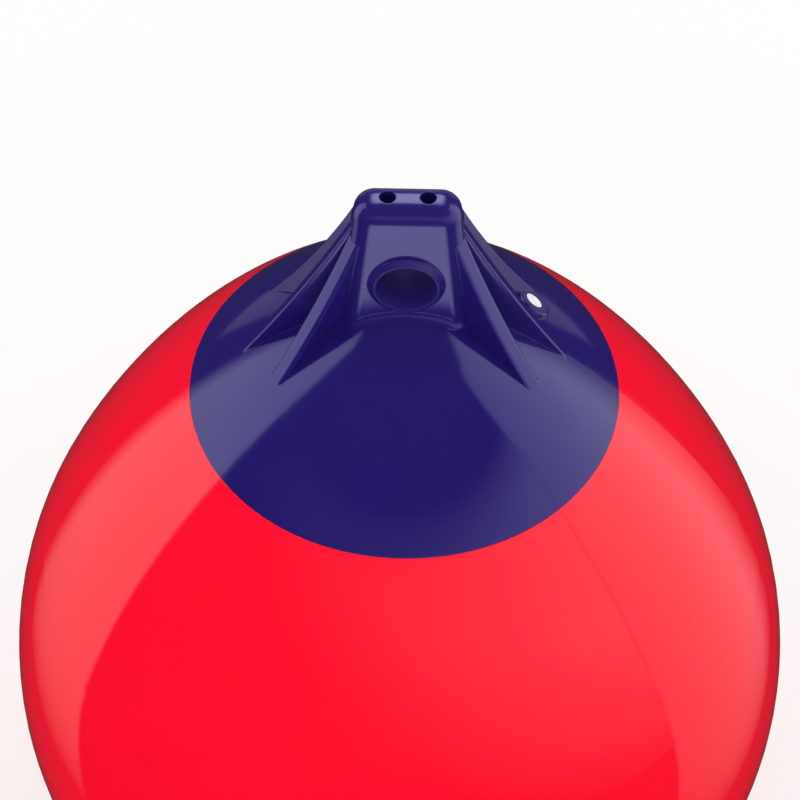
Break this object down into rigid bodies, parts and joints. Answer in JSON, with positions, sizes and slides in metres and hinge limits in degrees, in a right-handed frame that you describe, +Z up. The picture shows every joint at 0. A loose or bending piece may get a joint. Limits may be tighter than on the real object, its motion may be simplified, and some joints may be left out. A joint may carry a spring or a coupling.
{
  "type": "inflatable mooring buoy",
  "caption": "Inflatable vinyl mooring buoy: a round air chamber that narrows to a cap with a ribbed upright head, a rope eye through the head and an inflation valve beside the ribs.",
  "frame": {"origin": "on the buoy's vertical axis, at the waterline of the empty buoy afloat", "axes": "+Z up along the buoy's axis towards the head, Y along the rope eye's bore, +X towards the side with the inflation valve"},
  "size_m": [0.432, 0.432, 0.584],
  "materials": {
    "air_chamber": "glossy soft vinyl, red",
    "ropehold": "glossy soft vinyl, deep blue",
    "valve_body": "moulded nylon, white",
    "valve_seal": "soft black rubber",
    "valve_plug": "moulded nylon, white"
  },
  "bodies": {
    "buoy": {"air_chamber": "air_chamber", "ropehold": "ropehold", "valve_body": "valve_body", "valve_seal": "valve_seal"},
    "plug": {"valve_plug": "valve_plug"}
  },
  "joints": [
    {"name": "plug_lift", "type": "slide", "parent": "buoy", "child": "plug", "axis": [0.5826, 0.2155, 0.7837], "range_m": [0, 0.025]}
  ]
}
